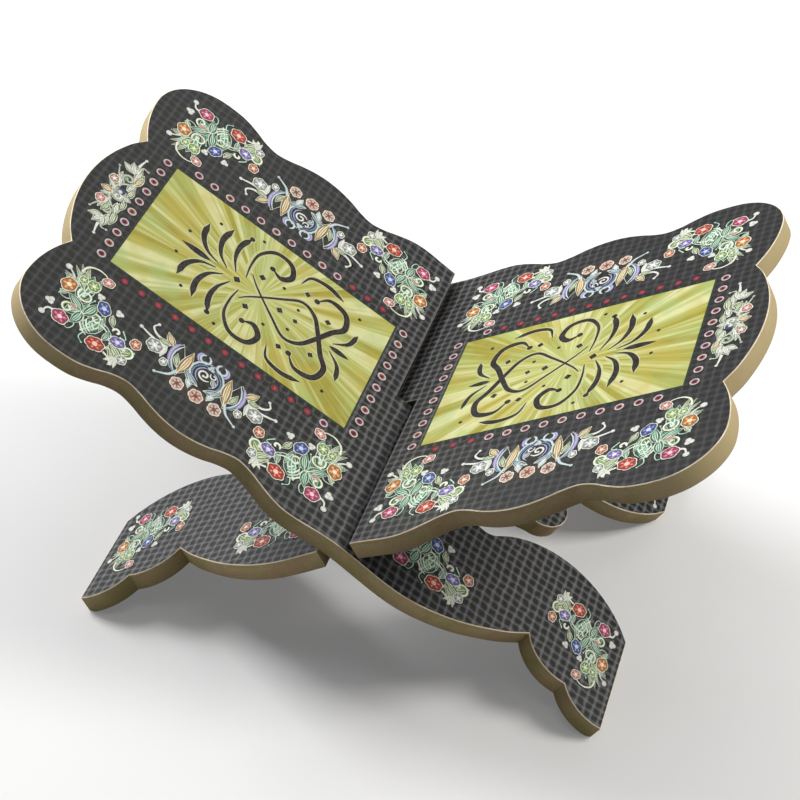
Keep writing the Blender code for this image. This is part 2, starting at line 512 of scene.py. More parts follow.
def corner_motif(art):
    """The bouquet in a panel's corner, drawn for the far corner at plus `across`."""
    hub = (75.4, 145.2)
    # The pale green leaves that lie under the rest.
    for ink, base, tip, width in (
        ("leaf_mint", (71, 150.4), (53.4, 149.2), 7),
        ("leaf_mint", (80.4, 151.6), (69.4, 144.8), 5.6),
        ("leaf_mint", (84.6, 141.4), (69.8, 136), 7.4),
        ("leaf_lime", (84.8, 128.8), (77.6, 117.4), 6.6),
    ):
        art.leaf(ink, 2, base, tip, width, 0.12)
    # The fan of pale leaves beside the inner scroll.
    fan = (((49.6, 153.4), 1.8), ((51.4, 156.2), 1.8), ((54, 158.2), 1.7), ((60.4, 160.4), 1.9))
    for tip, width in fan:
        art.leaf("leaf_lime", 3, (63.4, 150.2), tip, width, 0.07)
    art.leaf("leaf_lime", 6, (63.8, 149.4), (54, 153.4), 4, -0.08)
    art.blossom("lime", 8, (58.4, 147), 3.5, 6, 15, 0.92)
    art.blossom("lime", 9, (58.6, 152), 2.5, 5, 0, 0.9)
    art.leaf("leaf_mint", 6, (62.4, 146.4), (53.2, 145.9), 3, 0.12)
    curl = smooth_path([(55, 154.8), (50.6, 153.6), (48.2, 149.8), (48.4, 145.8), (49.8, 143.6)])
    art.line("cream", 9, curl, 1.1)
    art.line("white", 9, smooth_path([(60.8, 155.6), (58.6, 157.8), (57, 160.4)]), 1.2, tail, 1.6)
    art.hearts("white", (60.8, 142.6), 1.7, -60)
    art.blossom("blush", 10, (51.4, 142.8), 3.3, 5, 20, 0.85, 60)
    # Fine pale tendrils in the gaps.
    for knots in (
        [(62.8, 151.6), (60, 154.6), (56.2, 155.4)],
        [(69.6, 150.8), (73.6, 153), (73.8, 156.4), (71.4, 157.6)],
        [(80.2, 147.6), (84.4, 144.8), (88.2, 146.2), (87.6, 148.8)],
        [(70.6, 141.4), (69.2, 144.4), (65.4, 143.2)],
        [(84.4, 139.8), (88.2, 140.6), (90.4, 138.2)],
        [(76.4, 129.8), (79.8, 129), (81.2, 131.4)],
        [(70.4, 126.4), (74, 123.4), (74.8, 125.8)],
    ):
        art.line("mint_pale", 7, smooth_path(knots, 4), 0.7, tail, 0.5)
    # The orange flower over two short leaves.
    art.leaf("leaf_lime", 5, (69.4, 154.6), (73.6, 157.4), 2, 0.1)
    art.leaf("leaf_teal", 5, (63.4, 155.2), (61.6, 159.8), 2, 0.1)
    art.blossom("orange", 10, (66, 156), 4.6, 5, 12, 0.84, 20)
    # The inner scroll.
    art.scroll("cream", 4, (66.2, 147.3), 4.4, 1.2, 130, -430, 0.9, 0.9)
    # The two mint leaves at the hub and the ring between them.
    art.scroll("cream", 4, (78, 151.2), 3.6, 1.2, 250, -400, 0.9, 0.7)
    art.leaf("leaf_mint", 7, hub, (70.4, 154), 4.2, 0.12)
    art.leaf("leaf_mint", 7, hub, (84.2, 146.9), 3.9, -0.16)
    art.leaf("blush", 9, (76.4, 147.4), (75, 151.4), 1.7, 0.2, False)
    # The pink flower with the white sprigs beyond it.
    art.line("white", 6, smooth_path([(84, 154.6), (84.8, 157.6), (88.4, 158.8)]), 1.5, tail, 1.5)
    art.hearts("white", (80.8, 158), 2, 140)
    art.blossom("pink", 10, (85.2, 151.4), 4.4, 5, 30, 0.92, 120)
    # The feathered scroll below the hub.
    for k in range(5):
        radius = 10.0 - 1.45 * k
        arc = spiral_path((76.6, 134.8), radius, radius - 0.6, 94 - 3 * k, -72 + 4 * k)
        art.line("mint_pale" if k % 2 else "cream", 5 + k, arc, 0.8, even)
    art.leaf("leaf_mint", 7, (76.2, 144.2), (66.4, 141.4), 4.2, 0.14)
    art.scroll("cream", 5, (74.2, 138.6), 3.6, 1.2, 60, 380, 0.9, 0.7)
    art.leaf("leaf_teal", 7, (82.2, 131.8), (76, 131.6), 2.1, 0.2)
    art.leaf("leaf_mint", 7, (72, 136.4), (79.4, 134.6), 2, -0.12)
    art.line("cream", 8, smooth_path([(75.4, 136), (76, 133), (77.8, 130.4)]), 1)
    art.line("mint_pale", 8, smooth_path([(73.8, 134.8), (74.6, 132.2), (76.4, 129.8)]), 0.8)
    # The blue flower, and the pale buds round it.
    art.blossom("blue", 10, (66, 138.2), 4.5, 5, 48, 0.76, -30)
    art.hearts("white", (63.8, 131.8), 1.8, 200)
    art.leaf("leaf_lime", 5, (66.4, 133.4), (72.2, 130.8), 2.6, 0.1)
    art.line("cream", 6, spiral_path((73.2, 128.4), 1.9, 0.8, 60, 290), 1.2, even)
    # The red flower, and the lilac one under it.
    art.leaf("leaf_lime", 4, (81.4, 128.4), (86.6, 120.2), 4.4, -0.12)
    art.leaf("leaf_lime", 5, (83.8, 127.8), (91.4, 123), 2.4, -0.2)
    art.line("cream", 8, smooth_path([(87.6, 128.6), (88.8, 125.6), (91.2, 123.6)]), 1.1, tail, 0.9)
    art.blossom("red", 10, (86.6, 133.2), 4.8, 6, 5, 0.86, 70)
    art.blossom("lilac", 10, (78.2, 125.8), 4.1, 5, 60, 0.8, 70)
    # The small flower at the end of the lower scroll.
    art.scroll("cream", 4, (79.6, 120.2), 3.9, 1.7, 20, -300, 1, 0.8)
    art.blossom("pearl", 7, (85.4, 120.4), 2.9, 5, 10, 0.9)
    for tip in ((91.8, 121.6), (92.2, 124.2), (90.8, 126.6)):
        art.leaf("white", 6, (86.6, 123.4), tip, 1.5, -0.1, False)
    art.blossom("coral", 10, (72.9, 118.9), 3.4, 5, 0, 0.84, 0)


def side_motif(art):
    """Half of the scroll cluster beside the sunburst: the part above its middle, at plus `across`."""
    art.disc("brown", 1, (77.6, 9.6), 5.0)
    art.blossom("tan", 10, (77.6, 9.6), 3.7, 6, 0, 0.92, 0, 0)
    # The eye: a dark ground between a lilac lid and a yellow leaf.
    art.leaf("ground", 3, (73.6, 12.2), (55.6, 15.4), 7.4, -0.16, False)
    art.leaf("leaf_gold", 6, (72.4, 12), (56.4, 10), 4.4, 0.06)
    art.line("leaf_slate", 6, bent_path((73, 14), (57.4, 17.4), -0.3), 1.5, even)
    art.line("lilac_pale", 7, bent_path((69.4, 17.4), (56.4, 16.8), -0.26), 1.9, even)
    art.line("silver", 7, bent_path((73.4, 12.8), (55.8, 14.6), -0.42), 0.8, even)
    art.leaf("leaf_lime", 8, (69.4, 13.4), (62.4, 15.6), 2.4, -0.1)
    # The yellow leaves, and the pale tails and bud beyond them.
    art.leaf("leaf_gold", 6, (60, 18.6), (54.6, 23.6), 3.4, -0.1)
    art.leaf("leaf_lime", 7, (60.8, 20.4), (60.4, 26), 2.8, -0.15)
    tails = (
        ("silver", [(70.6, 12), (75.4, 14.4), (77.6, 17.4), (79.2, 20.4)], 1.7),
        ("white", [(63.4, 21.4), (63, 28), (61.2, 35)], 2),
        ("white", [(60.6, 22.8), (59.8, 27.6), (57, 30.4), (54, 29)], 1.6),
    )
    for ink, knots, width in tails:
        art.line(ink, 6, smooth_path(knots), width, tail, 0.5 * width)
    art.blossom("pearl", 6, (66.2, 26), 4.2, 6, 10)
    art.leaf("white", 6, (62.6, 21.2), (69.8, 21.6), 2.2, 0.12, False)
    art.blossom("pearl", 6, (71.4, 19.2), 2.6, 5, 0, 0.8)
    # The ring beside the central scroll, with its lilac leaf.
    art.line("silver", 6, spiral_path((55, 4.4), 2.7, 2.3, 200, 330), 1.2, even)
    art.line("lilac_pale", 7, spiral_path((55.4, 4.6), 3.4, 3.2, 30, 120), 1.3, even)
    # The upper half of the central scroll.
    art.line("silver", 6, spiral_path((64.2, 0), 8.5, 8, 178, -168), 1.1, even)
    art.line("leaf_slate", 7, spiral_path((64.6, 0.2), 7, 6.7, 176, -160), 0.9, even)
    art.line("lilac_pale", 8, spiral_path((64.4, 0.2), 5.4, 5.1, 170, -140), 0.7, even)
    art.leaf("leaf_slate", 8, (71.8, 1.8), (67, 9.8), 3, -0.16)
    art.leaf("silver", 8, (70.2, 6.8), (75.8, 4.8), 2.4, -0.1)


def side_middle(art):
    """What stands on the middle line of the side cluster: the flower, the spiral and its heart."""
    art.disc("brown", 1, (77.4, 0.0), 5.2)
    art.blossom("peach", 11, (77.4, 0), 3.9, 6, 15, 0.94, 0, 0)
    art.disc("ground", 2, (64.2, 0.0), 8.0, 1.0, 0.0, 24)
    art.line("white", 8, spiral_path((63.6, 1.4), 3.6, 0.9, -60, 430), 1, even, 0.7)
    art.leaf("leaf_slate", 9, (67, -4.6), (63, -2.4), 2, 0.1)
    art.line("white", 9, spiral_path((61.6, -2.6), 1.9, 0.8, 120, -300), 0.7, even, 0.5)
    art.hearts("silver", (57.4, 0), 1.6, 0)


def far_motif(art):
    """Half of the scroll cluster beyond the sunburst, at plus `across` from the middle line."""
    art.disc("frost", 1, (0.0, 162.0), 5.4, 0.2, 0.6, 18)
    art.leaf("frost", 5, (1.4, 164.8), (5, 169), 2.4, -0.1)
    art.line("frost", 6, smooth_path([(8.6, 164.8), (12, 167.4), (17, 169.4)]), 1.5, tail, 0.8)
    art.line("ground", 6, spiral_path((0, 162), 4.9, 4.9, 90, -180), 1, even)
    art.line("frost", 6, smooth_path([(0, 166), (5.4, 164.6), (9.2, 161.2), (9.8, 158.6)]), 1.9)
    art.leaf("frost", 4, (4.6, 163.8), (14.4, 166.4), 3.4, 0.1)
    art.leaf("frost", 4, (5.4, 160.2), (13, 158.6), 3, -0.1)
    art.scroll("frost", 6, (12.4, 162.2), 3.5, 1, 170, -420, 1.3, 0.9)
    art.leaf("leaf_frost", 5, (10.6, 159.2), (20.4, 157.6), 3.4, -0.1)
    art.leaf("leaf_frost", 5, (0.8, 158.8), (8.6, 157.4), 3, -0.1)
    art.leaf("frost", 5, (15, 160.6), (22.6, 159.6), 3, -0.1)
    for angle in (64, 22, -20):
        tip = polar((17.8, 162.2), 6.8, angle)
        art.leaf("frost", 6, (17.8, 162.2), tip, 3.2)
    art.line("white", 8, bent_path((23.4, 161.9), (30.4, 160.8), 0.05), 1.5, tail, 0.8)
    art.line("frost", 8, smooth_path([(21.2, 160.4), (24.6, 160), (24.4, 157.2)]), 1.4, tail, 0.8)


def far_middle(art):
    """What stands on the middle line of the far cluster."""
    art.leaf("leaf_gold", 8, (0.6, 165), (1.4, 170.6), 4)
    art.blossom("blush", 10, (8.8, 167.6), 3.1, 5, 20, 0.9)
    art.blossom("tan", 10, (-7.4, 167.8), 3, 5, 0, 0.9)
    art.leaf("leaf_gold", 8, (-11.6, 158.6), (-17.8, 157.2), 3)
    art.leaf("leaf_lime", 9, (9.2, 162.6), (15, 164.4), 3)
    art.disc("blue", 7, (-2.8, 161.6), 1.9, 0.5, 0.0)
    art.line("white", 8, spiral_path((1.4, 162), 2.2, 0.7, 180, 380), 1, even)
    art.disc("white", 8, (-2.0, 162.1), 1.1)
    art.leaf("frost", 7, (0, 160), (0, 155.8), 3)


def beads(art):
    """The rows and columns of beads round the sunburst."""
    art.put()
    hearts = ("pink", "ruby", "coral")
    for row, along in enumerate(BEAD_ROWS):
        for k in range(10):
            across = BEAD_ROW_START + BEAD_ROW_PITCH * k
            ring_bead(art, (across, along), hearts[(k + row) % 3])
    for k in range(13):
        along = BEAD_COLUMN_TOP - BEAD_COLUMN_PITCH * k
        for across, ringed in ((-BEAD_COLUMN, k < 10), (BEAD_COLUMN, k == 12)):
            if ringed:
                ring_bead(art, (across, along), hearts[k % 3])
            else:
                art.disc("ground", 2, (across, along), 1.25 * BEAD_RADIUS, 0.5, 0.5, 16)
                art.disc("ruby", 3, (across, along), 0.8 * BEAD_RADIUS, 1.2, 0.0, 16)


def ring_bead(art, centre, ink):
    """A pale ring round a coloured bead with a dark middle."""
    art.disc("ground", 2, centre, 1.2 * BEAD_RADIUS, 0.5, 0.5, 16)
    art.disc("rim_pale", 3, centre, BEAD_RADIUS, 1.0, 0.5, 16)
    art.disc(ink, 4, centre, 0.66 * BEAD_RADIUS, 0.0, 0.15, 14)
    art.disc("ground", 5, centre, 0.36 * BEAD_RADIUS, 0.5, 0.5, 12)


def sunburst(art):
    """The yellow panel with its dark border line."""
    art.put()
    middle = (0.0, PANEL_MIDDLE)
    for ink, level, spare in (("border", 1, 0.9), ("sunburst", 2, 0.0)):
        wide = PANEL_HALF_WIDTH + spare
        long = PANEL_HALF_LENGTH + spare
        rim = []
        for x, y in ((-1, -1), (1, -1), (1, 1), (-1, 1)):
            rim.append((x * wide, PANEL_MIDDLE + y * long))
        art.fan(ink, level, middle, rim)


def stroke(art, level, knots, width, ball=0.0):
    """A brush stroke of the arabesque, with the pale halo that the print leaves round it."""
    path = smooth_path(knots, 9)
    art.ribbon("halo", 3, path, width + 1.3, even, 0.4, 0.0)
    art.ribbon("umber", level, path, width, brush)
    if ball:
        art.disc("halo", 3, path[-1], ball + 0.6, 0.4, 0.0)
        art.disc("umber", level + 1, path[-1], ball)


def arabesque(art):
    """The brush ornament on the sunburst: a palmette over mirrored scrolls, with lozenges and dots."""
    for side in (1, -1):
        art.put(side=side)
        # The palmette: strokes that spread from the middle line, and their drops.
        stroke(art, 5, [(1.6, 108.5), (4.6, 115.8), (11.5, 120.6), (20.6, 121.4)], 2.5)
        stroke(art, 5, [(2.4, 104.2), (8, 109.8), (17, 112.4), (27.4, 110.6)], 2.5)
        stroke(art, 5, [(3.8, 99.8), (12, 103.4), (21, 104), (29.6, 101.2)], 2.4, 1.4)
        # The upper scroll, which curls back under itself.
        knots = [(5, 94.6), (14, 95.6), (24, 94.6), (31.6, 88.4), (31, 79.8), (23.8, 76.4)]
        knots += [(18.6, 80.6), (20.8, 86.2)]
        stroke(art, 7, knots, 2.5, 1.5)
        # The long band, which crosses its mirror image twice and ends in a loop.
        knots = [(-9.4, 92.8), (-3.4, 87.6), (6.8, 76), (13.8, 66.8), (11, 59), (2, 53.4)]
        knots += [(-8.4, 48.2), (-15.6, 43.6), (-24.6, 46.4), (-26.4, 55.4), (-20.4, 61)]
        stroke(art, 9, knots, 2.5, 1.5)
        # The outer strokes beside the loops.
        stroke(art, 5, [(24.6, 71.4), (31.8, 68.4), (34, 59.6), (31.6, 50)], 2.3)
        stroke(art, 5, [(2.6, 45.4), (8.6, 38.8), (17.4, 36.6)], 2.1)
        for centre, size in (((11.6, 88.2), 1.9), ((20.6, 66.4), 1.7), ((12.8, 52), 1.7)):
            lozenge(art, centre, size)
        for centre in ((8.4, 127), (25.4, 117), (33.2, 96), (28, 39.6), (7.6, 66.6), (14.4, 77.2)):
            art.disc("umber", 5, centre, 0.9)
    art.put()
    for foot, point, width in ((112, 127.6, 3.8), (46.4, 35.4, 3.2)):
        art.ribbon("halo", 3, bent_path((0, foot), (0, point), 0), width + 1.3, leaf_profile, 0.4)
        art.ribbon("umber", 5, bent_path((0, foot), (0, point), 0), width, leaf_profile)
    for along, size in ((97.6, 2.1), (74, 1.9), (65.4, 1.5)):
        lozenge(art, (0, along), size)


def lozenge(art, centre, size):
    """A small diamond, standing on one corner."""
    for ink, level, reach in (("halo", 3, size + 0.6), ("umber", 9, size)):
        rim = [polar(centre, reach, 90 * k + 12) for k in range(4)]
        art.fan(ink, level, centre, rim)


def draw_print(surface):
    """The whole print of one board."""
    art = Artwork(surface)
    sunburst(art)
    arabesque(art)
    beads(art)
    motifs = (
        (corner_motif, lambda x, y: (x, y)),
        (far_motif, lambda x, y: (x, y)),
        (corner_motif, lambda x, y: (x, 2 * CORNER_MIRROR - y)),
        (corner_motif, lambda x, y: (x, y + LEG_SHIFT)),
        (corner_motif, lambda x, y: (FOOT_SHIFT - x, FOOT_SQUEEZE * (FOOT_FROM - y) + FOOT_TO)),
        (side_motif, lambda x, y: (x, SIDE_MIDDLE + y)),
        (side_motif, lambda x, y: (x, SIDE_MIDDLE - y)),
        (side_middle, lambda x, y: (x, SIDE_MIDDLE + y)),
    )
    for side in (1, -1):
        for motif, place in motifs:
            art.put(place, side)
            motif(art)
    art.put()
    far_middle(art)
    return art


def make_print(side, surface, looks):
    """Turns the inks of a board into pieces that ride on it."""
    art = draw_print(surface)
    for ink, (points, tones, faces) in art.inks.items():
        name = f"{side}_ink_{ink}"
        data = bpy.data.meshes.new(name)
        data.from_pydata(points, [], faces)
        tone = data.attributes.new("tone", "FLOAT", "POINT")
        tone.data.foreach_set("value", tones)
        mesh = bmesh.new()
        mesh.from_mesh(data)
        bmesh.ops.recalc_face_normals(mesh, faces=mesh.faces)
        mesh.to_mesh(data)
        mesh.free()
        place_piece(name, data, side, "printed_face", [looks[ink]])


# ---------------------------------------------------------------------------- materials


def linear(colour):
    """A colour given as 0 to 255 on a screen, as the light that it stands for."""
    shares = []
    for channel in colour:
        share = channel / 255
        shares.append(share / 12.92 if share <= 0.04045 else ((share + 0.055) / 1.055) ** 2.4)
    return (*shares, 1.0)


class Look:
    """A node material. Each method adds one node and gives back its output."""

    def __init__(self, name, roughness, specular=0.5):
        self.material = bpy.data.materials.new(name)
        self.material.use_nodes = True
        self.tree = self.material.node_tree
        self.shader = self.tree.nodes["Principled BSDF"]
        self.shader.inputs["Roughness"].default_value = roughness
        self.shader.inputs["Specular IOR Level"].default_value = specular

    def node(self, kind, inputs=(), **settings):
        """Adds a node, with its inputs as values or as other nodes' outputs."""
        node = self.tree.nodes.new(kind)
        for key, value in settings.items():
            setattr(node, key, value)
        for socket, value in dict(inputs).items():
            self.feed(node.inputs[socket], value)
        return node

    def feed(self, socket, value):
        """Joins an output to a socket, or sets its value. Three numbers are a screen colour."""
        if isinstance(value, bpy.types.NodeSocket):
            self.tree.links.new(value, socket)
        elif isinstance(value, tuple) and len(value) == 3:
            socket.default_value = linear(value)
        else:
            socket.default_value = value

    def math(self, operation, a, b=0.0, clamp=False):
        """A sum of one or two values."""
        return self.node(
            "ShaderNodeMath", {0: a, 1: b}, operation=operation, use_clamp=clamp
        ).outputs[0]

    def times(self, a, b):
        """The product of two values."""
        return self.math("MULTIPLY", a, b)

    def attribute(self, name, output="Vector"):
        """A value that the mesh carries."""
        return self.node("ShaderNodeAttribute", attribute_name=name).outputs[output]

    def parts(self, vector):
        """The three parts of a vector."""
        return self.node("ShaderNodeSeparateXYZ", {0: vector}).outputs[:]

    def vector(self, x, y, z=0.0):
        """A vector of three values."""
        return self.node("ShaderNodeCombineXYZ", {0: x, 1: y, 2: z}).outputs[0]

    def noise(self, vector, scale, detail=3.0, rough=0.55, distortion=0.0):
        """Smooth noise between 0 and 1."""
        settings = {"Vector": vector, "Scale": scale, "Detail": detail}
        settings["Roughness"] = rough
        settings["Distortion"] = distortion
        return self.node("ShaderNodeTexNoise", settings).outputs[0]

    def span(self, value, low, high, to_low=0.0, to_high=1.0):
        """A value taken from one range to another, and held inside it."""
        inputs = {0: value, 1: low, 2: high, 3: to_low, 4: to_high}
        return self.node("ShaderNodeMapRange", inputs).outputs[0]

    def mix(self, share, a, b, blend="MIX"):
        """Two colours mixed by a share."""
        node = self.node("ShaderNodeMix", data_type="RGBA", blend_type=blend)
        self.feed(node.inputs[0], share)
        self.feed(node.inputs[6], a)
        self.feed(node.inputs[7], b)
        return node.outputs[2]

    def finish(self, colour, roughness=None, height=None, relief=0.05):
        """Sets the surface's colour, roughness and relief in millimetres."""
        self.feed(self.shader.inputs["Base Color"], colour)
        if roughness is not None:
            self.feed(self.shader.inputs["Roughness"], roughness)
        if height is not None:
            bump = self.node("ShaderNodeBump", {"Height": height, "Distance": relief * MM})
            self.feed(self.shader.inputs["Normal"], bump.outputs[0])
        return self.material


def slit_share(look, across, along):
    """How far an edge lies in the slit: 1 on its walls, which get painted shade, else 0."""
    run = look.span(look.math("ABSOLUTE", along), SLIT_REACH + 2.0, SLIT_REACH, 0.0, 1.0)
    inside = look.span(look.math("ABSOLUTE", across), 99.0, 94.0, 0.0, 1.0)
    return look.times(run, inside)


def weave_look():
    """The printed basket weave: rows and columns of dark rounded blocks between grey strands."""
    look = Look("woven_print", 0.44, 0.22)
    spot = look.attribute("board_mm")
    wobble = look.noise(spot, 0.11, 2.0)
    across, along, _ = look.parts(spot)
    drift = look.span(wobble, 0.3, 0.7, -0.5, 0.5)
    turn = 2 * math.pi / WEAVE_PITCH
    u = look.times(look.math("ADD", across, drift), turn)
    v = look.times(look.math("SUBTRACT", along, drift), turn)

    def strand(wave, sharpness):
        """A light line once in each pitch, where the wave peaks."""
        lifted = look.times(look.math("ADD", look.math("COSINE", wave), 1.0), 0.5)
        return look.math("POWER", lifted, sharpness)

    def checker(operation):
        """A board of squares of two pitches, soft at the squares' edges."""
        across_wave = look.math(operation, look.times(u, 0.5))
        along_wave = look.math(operation, look.times(v, 0.5))
        return look.times(across_wave, along_wave)

    def fibres(across_scale, along_scale):
        """Fine fibres, longest where the scale is smallest."""
        streak = look.vector(look.times(across, across_scale), look.times(along, along_scale))
        return look.span(look.noise(streak, 1.0, 4.0, 0.62), 0.28, 0.72, 0.4, 1.55)

    # Every other block lies lengthwise, so its rows count for more and its columns for less.
    turned = look.times(checker("SINE"), 0.18)
    rows = look.times(strand(v, 3.9), fibres(0.7, 2.4))
    columns = look.times(strand(u, 3.0), fibres(2.4, 0.7))
    grid = look.math(
        "ADD",
        look.times(rows, look.math("ADD", turned, 0.72)),
        look.times(columns, look.math("SUBTRACT", 0.56, turned)),
    )
    knots = look.times(look.times(rows, columns), 0.2)
    check = look.times(checker("COSINE"), 0.09)
    tooth = look.math("ADD", look.math("ADD", grid, knots), check, True)
    # Painted sheen and shade: up the panel the weave is washed towards an even grey, as by a sheen, and down the
    # legs it shows at full contrast and darker, as in shade.
    painted_sheen_and_shade = look.span(along, 88.0, -26.0, 0.24, 0.97)
    strands = look.mix(tooth, (8, 8, 9), (114, 114, 116))
    ink = look.mix(painted_sheen_and_shade, (43, 44, 43), strands)
    tint = look.noise(spot, 0.035, 2.0)
    warm = look.mix(look.span(tint, 0.35, 0.65), (122, 132, 126), (136, 124, 126))
    colour = look.mix(0.3, ink, warm, "OVERLAY")
    smear = look.noise(spot, 0.3, 4.0)
    rough = look.span(smear, 0.3, 0.7, 0.34, 0.46)
    return look.finish(colour, rough, tooth, 0.03)


def paper_edge_look():
    """The cut edge of the printed film: pale paper with tiny dark nicks, and painted shade in the slit."""
    look = Look("film_cut_edge", 0.6, 0.3)
    spot = look.attribute("board_mm")
    nicks = look.span(look.noise(spot, 2.2, 4.0, 0.7), 0.52, 0.72, 0.0, 0.7)
    stain = look.noise(spot, 0.12, 3.0)
    base = look.mix(look.span(stain, 0.3, 0.7), (236, 225, 202), (204, 188, 160))
    nicked = look.mix(nicks, base, (92, 76, 54))
    across, along, _ = look.parts(spot)
    # Painted shade on the slit's walls.
    slit_painted_shade = look.times(slit_share(look, across, along), 0.82)
    return look.finish(look.mix(slit_painted_shade, nicked, (84, 84, 74)), 0.62, nicks, 0.04)


def mdf_look():
    """Sawn MDF: fibres that lie flat, a darker lower half, and specks of bark.

    Painted shade: the panel's edges darker than the legs', and dark slit walls. Painted light: a lighter nose.
    """
    look = Look("sawn_mdf", 0.8, 0.2)
    spot = look.attribute("board_mm")
    across, along, height = look.parts(spot)
    lying = look.vector(look.times(across, 0.3), look.times(along, 0.3), look.times(height, 2.6))
    fibre = look.noise(lying, 1.5, 5.0, 0.65)
    speck = look.noise(spot, 3.5, 3.0, 0.6)
    cloud = look.noise(spot, 0.045, 3.0)
    light = look.mix(look.span(fibre, 0.3, 0.7), (138, 123, 86), (174, 157, 116))
    # Darker towards the board's underside.
    low = look.span(height, 1.5, -3.6, 0.0, 0.5)
    underside_darker = look.mix(low, light, (106, 92, 63))
    specked = look.mix(look.span(speck, 0.58, 0.74, 0.0, 0.55), underside_darker, (80, 62, 42))
    olive = look.mix(look.span(cloud, 0.5, 0.36, 0.0, 0.45), specked, (122, 118, 66))
    rosy = look.mix(look.span(cloud, 0.5, 0.64, 0.0, 0.45), olive, (142, 112, 92))
    # Painted shade darkens the panel's edges against the legs', and painted light lightens the nose.
    panel_painted_shade = look.mix(look.span(along, -10.0, 24.0, 0.0, 0.3), rosy, (72, 60, 46))
    nose_painted_light = look.mix(look.span(along, 134.0, 158.0, 0.0, 0.64), panel_painted_shade, (188, 170, 128))
    # Painted shade on the slit's walls.
    slit_painted_shade = look.times(slit_share(look, across, along), 0.8)
    colour = look.mix(slit_painted_shade, nose_painted_light, (52, 46, 38))
    relief = look.math("ADD", fibre, look.times(speck, 0.5))
    return look.finish(colour, look.span(fibre, 0.3, 0.7, 0.72, 0.88), relief, 0.09)


def backing_look():
    """The balancing film on the underside: dark brown paper with a faint grain and scuffs."""
    look = Look("backing_paper", 0.5, 0.4)
    spot = look.attribute("board_mm")
    across, along, height = look.parts(spot)
    lying = look.vector(look.times(across, 6.0), along, height)
    grain = look.noise(lying, 0.12, 5.0, 0.65, 0.4)
    mottle = look.noise(spot, 0.9, 4.0, 0.6)
    base = look.mix(look.span(grain, 0.3, 0.7), (52, 44, 37), (76, 64, 52))
    scuff = look.span(look.noise(spot, 0.05, 6.0, 0.7), 0.6, 0.78, 0.0, 0.35)
    colour = look.mix(scuff, base, (112, 98, 82))
    return look.finish(colour, look.span(mottle, 0.3, 0.7, 0.42, 0.62), mottle, 0.02)


def sunburst_look():
    """Yellow, amber and pale rays from the panel's middle, over soft amber and green patches."""
    look = Look("sunburst_print", 0.44, 0.22)
    spot = look.attribute("board_mm")
    across, along, _ = look.parts(spot)
    rise = look.math("SUBTRACT", along, PANEL_MIDDLE)
    square = look.math("ADD", look.times(across, across), look.times(rise, rise))
    reach = look.math("MAXIMUM", look.math("SQRT", square), 0.5)
    far = look.times(reach, 0.0006)
    heading = look.vector(look.math("DIVIDE", across, reach), look.math("DIVIDE", rise, reach), far)
    broad = look.noise(heading, 3.2, 1.0, 0.4)
    narrow = look.noise(heading, 8.5, 2.0, 0.5)
    thread = look.noise(heading, 34.0, 2.0, 0.5)
    yellow = look.mix(look.span(broad, 0.4, 0.6), (158, 157, 76), (168, 174, 98))
    pale = look.span(narrow, 0.51, 0.6, 0.0, 0.95)
    rays = look.mix(pale, yellow, (200, 201, 150))
    shade = look.span(narrow, 0.34, 0.47, 0.8, 0.0)
    rays = look.mix(shade, rays, (144, 132, 34))
    rays = look.mix(look.span(thread, 0.54, 0.68, 0.0, 0.5), rays, (200, 198, 140))
    rays = look.mix(look.span(thread, 0.32, 0.44, 0.35, 0.0), rays, (132, 122, 56))
    patch = look.noise(spot, 0.05, 2.0)
    amber = look.mix(look.span(patch, 0.5, 0.64, 0.0, 0.42), rays, (178, 158, 64))
    green = look.mix(look.span(patch, 0.48, 0.34, 0.0, 0.5), amber, (154, 174, 108))
    fade = look.span(reach, 3.0, 26.0, 0.45, 0.0)
    colour = look.mix(fade, green, (172, 178, 98))
    grain = look.noise(spot, 1.2, 3.0)
    return look.finish(colour, look.span(grain, 0.3, 0.7, 0.36, 0.46), grain, 0.01)


# How far a highlight goes from an ink's middle colour towards white.
HIGHLIGHT = 0.72


def ink_look(name, rim, middle):
    """A printed ink, shaded from a shape's rim to its middle and broken up by the print grain.

    The mesh's tone is 0 at a rim, 1 in a middle, and 2 on a highlight.
    """
    look = Look(f"ink_{name}", 0.44, 0.22)
    spot = look.attribute("board_mm")
    tone = look.attribute("tone", "Fac")
    grain = look.noise(spot, 1.7, 3.0, 0.6)
    uneven = look.math("ADD", tone, look.span(grain, 0.25, 0.75, -0.35, 0.35))
    colour = look.mix(look.span(uneven, 0.0, 1.0), rim, middle)
    bright = tuple(channel + (250 - channel) * HIGHLIGHT for channel in middle)
    colour = look.mix(look.span(uneven, 1.05, 1.9), colour, bright)
    washed = look.noise(spot, 0.5, 2.0)
    colour = look.mix(look.span(washed, 0.35, 0.7, 0.0, 0.2), colour, (104, 104, 98))
    return look.finish(colour, look.span(grain, 0.3, 0.7, 0.34, 0.46), grain, 0.01)


